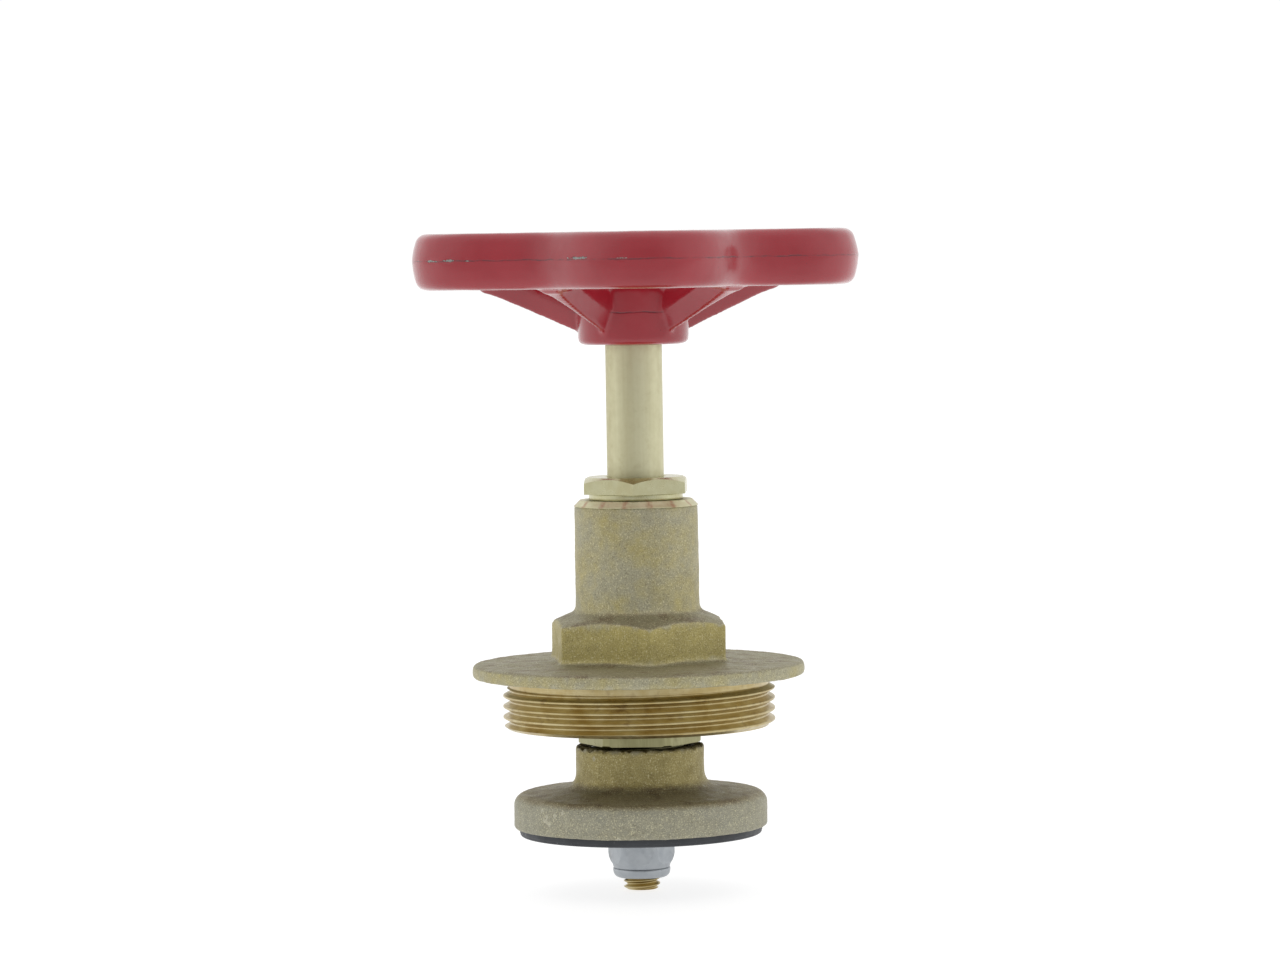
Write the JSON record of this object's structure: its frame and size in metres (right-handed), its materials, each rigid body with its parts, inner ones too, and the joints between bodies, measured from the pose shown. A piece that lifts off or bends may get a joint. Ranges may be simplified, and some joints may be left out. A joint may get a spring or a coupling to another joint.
{
  "type": "valve headwork",
  "caption": "Rising-stem valve headwork: threaded brass bonnet, swivelling rubber-faced disc, stuffing box and red lobed handwheel.",
  "frame": {"origin": "on the spindle's axis, in the plane of the flange's lower sealing face", "axes": "+Z along the spindle, towards the handwheel; -Y is the side of the picture's camera"},
  "size_m": [0.0973, 0.0958, 0.1442],
  "materials": {
    "cast_brass": "sand cast, dull, with a machined thread",
    "cast_brass_disc": "sand cast, dull",
    "machined_brass": "turned, satin",
    "polished_brass": "polished",
    "red_lacquer": "gloss red lacquer on die-cast metal",
    "rubber": "moulded, dull",
    "steel": "zinc plated",
    "nylon": "moulded nylon",
    "packing": "graphite packing"
  },
  "bodies": {
    "bonnet": {"bonnet": "cast_brass", "gland_nut": "machined_brass", "gland_ring": "machined_brass", "packing_ring_1": "packing", "packing_ring_2": "packing", "packing_ring_3": "packing", "packing_ring_4": "packing", "packing_washer": "machined_brass"},
    "disc": {"disc_holder": "cast_brass_disc", "disc_retaining_nut": "machined_brass", "thrust_plate": "steel", "seal_disc": "rubber", "seal_washer": "steel", "lock_nut": "steel", "lock_nut_insert": "nylon"},
    "spindle": {"spindle": "polished_brass", "handwheel": "red_lacquer", "wheel_washer": "steel", "wheel_spring_washer": "steel", "wheel_nut": "steel"}
  },
  "joints": [
    {"name": "disc_lift", "type": "slide", "parent": "bonnet", "child": "disc", "axis": [0, 0, 1], "range_m": [-0.015, 0]},
    {"name": "handwheel_turn", "type": "hinge", "parent": "disc", "child": "spindle", "pos_m": [0, 0, 0], "axis": [0, 0, 1], "range_deg": [-1800, 0]}
  ],
  "couplings": [
    {"joint": "disc_lift", "follows": "handwheel_turn", "m_per_rad": 0.00047746}
  ]
}
